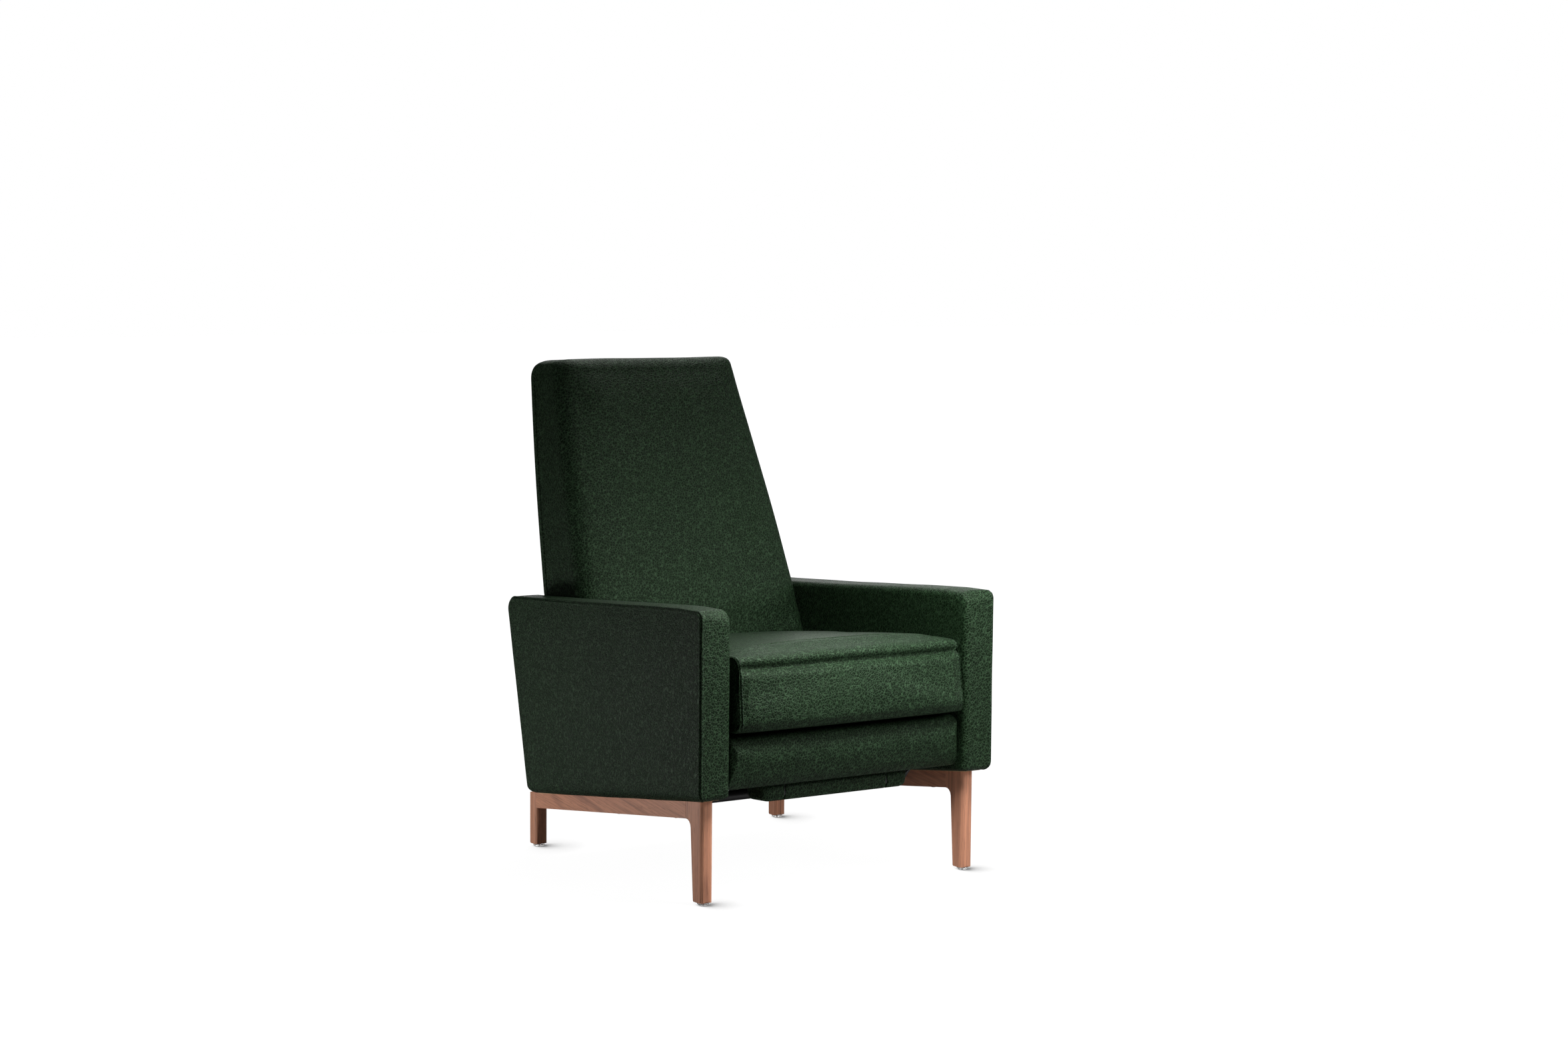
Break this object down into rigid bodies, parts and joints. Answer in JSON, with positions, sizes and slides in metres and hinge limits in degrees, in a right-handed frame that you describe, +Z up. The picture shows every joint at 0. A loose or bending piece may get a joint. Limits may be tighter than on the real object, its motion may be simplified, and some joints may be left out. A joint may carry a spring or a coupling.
{
  "type": "recliner armchair",
  "caption": "High-leg push-back recliner in dark green leather with walnut legs, a tall tapering back and a fold-out two-part footrest.",
  "frame": {"origin": "floor level, at the middle of the footprint of the closed chair", "axes": "+Z up, -Y towards the sitter's feet (the front), +X to the right as seen from the front"},
  "size_m": [0.724, 0.925, 1.0498],
  "materials": {
    "green_leather": "dark green pebbled leather",
    "walnut": "oiled walnut",
    "frame_timber": "plain sawn timber",
    "black_steel": "black painted steel",
    "zinc_steel": "zinc plated",
    "clear_plastic": "clear",
    "black_cloth": "thin black cloth"
  },
  "bodies": {
    "base": {"arm_panel_left": "frame_timber", "arm_panel_right": "frame_timber", "arm_cover_left": "green_leather", "arm_cover_right": "green_leather", "front_leg_left": "walnut", "front_leg_right": "walnut", "rear_leg_left": "walnut", "rear_leg_right": "walnut", "side_rail_left": "walnut", "side_rail_right": "walnut", "leg_glides": "clear_plastic", "rail_bolts": "zinc_steel", "rear_stretcher": "black_cloth", "base_plate_left": "black_steel", "base_plate_right": "black_steel", "base_plate_bolts": "zinc_steel", "base_cross_tube": "black_steel", "base_pivot_pins": "zinc_steel"},
    "front_carrier": {"front_carrier_links": "black_steel"},
    "rear_carrier": {"rear_carrier_links": "black_steel"},
    "seat": {"seat_plate_left": "black_steel", "seat_plate_right": "black_steel", "seat_plate_screws": "zinc_steel", "seat_pivot_pins": "zinc_steel", "seat_side_rails": "frame_timber", "seat_cross_rails": "frame_timber", "seat_springs": "zinc_steel", "seat_dust_cover": "black_cloth", "seat_cushion": "green_leather"},
    "back": {"back_side_rails": "frame_timber", "back_cross_rails": "frame_timber", "back_springs": "zinc_steel", "back_cushion": "green_leather", "outside_back_panel": "green_leather", "back_bracket_left": "black_steel", "back_bracket_right": "black_steel", "back_bracket_bolts": "zinc_steel"},
    "rear_links": {"footrest_rear_links": "black_steel"},
    "front_links": {"footrest_front_links": "black_steel", "brace_link_pins": "zinc_steel"},
    "outer_links": {"footrest_outer_links": "black_steel", "footrest_cross_tube": "black_steel", "outer_link_pins": "zinc_steel"},
    "brace_links": {"footrest_brace_links": "black_steel"},
    "footrest": {"footrest_board": "frame_timber", "footrest_pad": "green_leather", "footrest_bracket_left": "black_steel", "footrest_bracket_right": "black_steel", "footrest_bracket_pins": "zinc_steel", "footrest_screws": "zinc_steel", "flip_hinge_plates": "black_steel", "flip_hinge_pins": "zinc_steel"},
    "flip_out_pad": {"flip_board": "frame_timber", "flip_pad": "green_leather", "flip_hinge_arms": "black_steel", "flip_arm_screws": "zinc_steel"}
  },
  "joints": [
    {"name": "rear_carrier_swing", "type": "hinge", "parent": "base", "child": "rear_carrier", "pos_m": [0, -0.00818, 0.25], "axis": [1, 0, 0], "range_deg": [-0.5, 50.5]},
    {"name": "front_carrier_swing", "type": "hinge", "parent": "base", "child": "front_carrier", "pos_m": [0, -0.28818, 0.25], "axis": [1, 0, 0], "range_deg": [-0.5, 50.5]},
    {"name": "seat_level", "type": "hinge", "parent": "rear_carrier", "child": "seat", "pos_m": [0, 0.01507, 0.29985], "axis": [-1, 0, 0], "range_deg": [-0.5, 50.5]},
    {"name": "back_recline", "type": "hinge", "parent": "seat", "child": "back", "pos_m": [0, 0.12782, 0.33], "axis": [-1, 0, 0], "range_deg": [0, 32]},
    {"name": "footrest_rear_swing", "type": "hinge", "parent": "seat", "child": "rear_links", "pos_m": [0, -0.31818, 0.322], "axis": [-1, 0, 0], "range_deg": [-0.5, 90.5]},
    {"name": "footrest_front_swing", "type": "hinge", "parent": "seat", "child": "front_links", "pos_m": [0, -0.38018, 0.322], "axis": [-1, 0, 0], "range_deg": [-0.5, 90.5]},
    {"name": "footrest_outer_turn", "type": "hinge", "parent": "rear_links", "child": "outer_links", "pos_m": [0, -0.18101, 0.16966], "axis": [1, 0, 0], "range_deg": [-0.5, 90.5]},
    {"name": "footrest_brace_turn", "type": "hinge", "parent": "front_links", "child": "brace_links", "pos_m": [0, -0.27301, 0.20266], "axis": [1, 0, 0], "range_deg": [-0.5, 90.5]},
    {"name": "footrest_turn", "type": "hinge", "parent": "outer_links", "child": "footrest", "pos_m": [0, -0.33618, 0.243], "axis": [-1, 0, 0], "range_deg": [-0.5, 90.5]},
    {"name": "flip_out_turn", "type": "hinge", "parent": "footrest", "child": "flip_out_pad", "pos_m": [0, -0.38118, 0.204], "axis": [-1, 0, 0], "range_deg": [-0.5, 180.5]}
  ],
  "couplings": [
    {"joint": "rear_carrier_swing", "follows": "back_recline", "ratio": 1.5625},
    {"joint": "front_carrier_swing", "follows": "back_recline", "ratio": 1.5625},
    {"joint": "seat_level", "follows": "back_recline", "ratio": 1.5625},
    {"joint": "footrest_rear_swing", "follows": "back_recline", "ratio": 2.8125},
    {"joint": "footrest_front_swing", "follows": "back_recline", "ratio": 2.8125},
    {"joint": "footrest_outer_turn", "follows": "back_recline", "ratio": 2.8125},
    {"joint": "footrest_brace_turn", "follows": "back_recline", "ratio": 2.8125},
    {"joint": "footrest_turn", "follows": "back_recline", "ratio": 2.8125},
    {"joint": "flip_out_turn", "follows": "back_recline", "ratio": 5.625}
  ]
}
